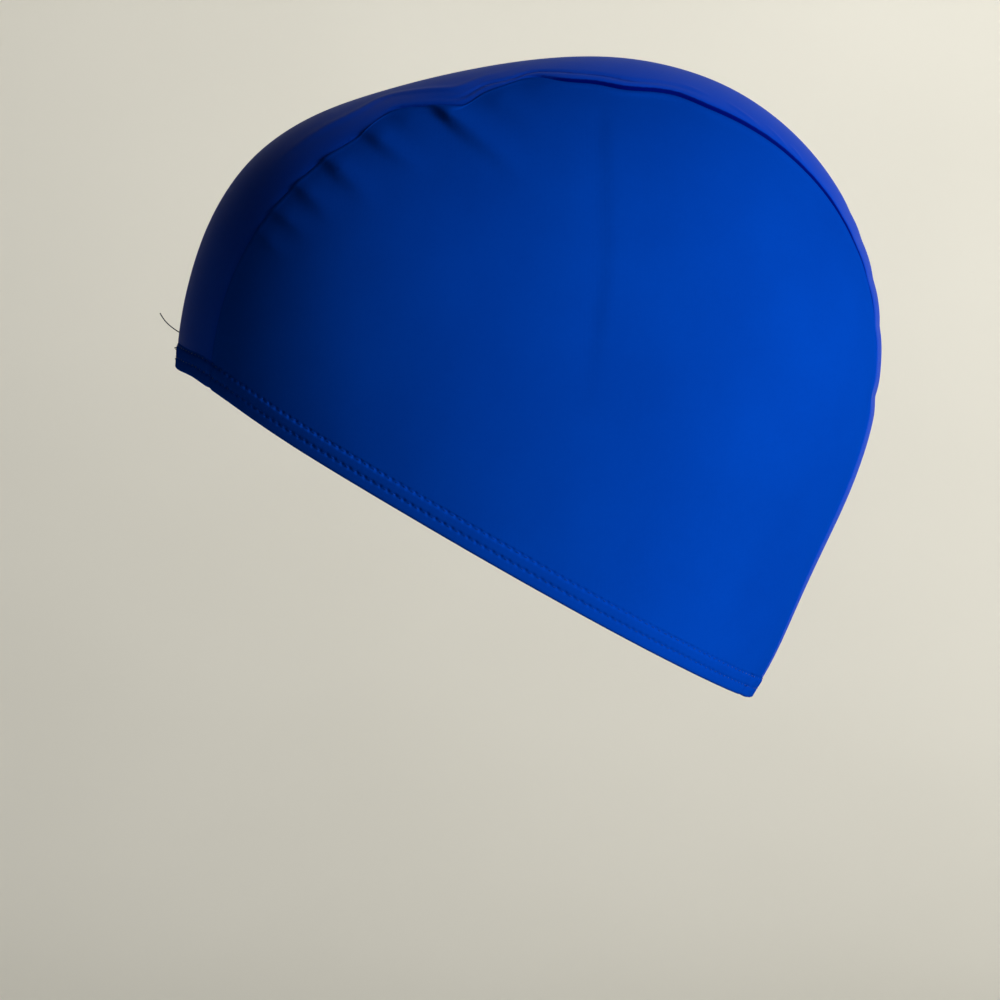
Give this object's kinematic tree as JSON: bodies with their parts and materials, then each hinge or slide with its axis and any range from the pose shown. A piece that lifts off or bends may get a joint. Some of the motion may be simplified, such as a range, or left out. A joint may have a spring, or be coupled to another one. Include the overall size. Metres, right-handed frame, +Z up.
{
  "type": "swim cap",
  "caption": "Stretch fabric swim cap with a strip over the crown between two side panels and a doubled hem, in the shape it takes on a head.",
  "frame": {"origin": "inner face of the crown straight above the head centre, where the top of the head bears", "axes": "+X towards the back of the head, +Y towards the wearer's right, +Z up"},
  "size_m": [0.193, 0.15, 0.1752],
  "materials": {
    "cap_fabric": "smooth satin knit",
    "hem_fabric": "smooth satin knit, doubled and stitched"
  },
  "bodies": {
    "root": {"crown_strip": "cap_fabric", "side_panel_left": "cap_fabric", "side_panel_right": "cap_fabric", "hem_band": "hem_fabric"}
  },
  "joints": []
}
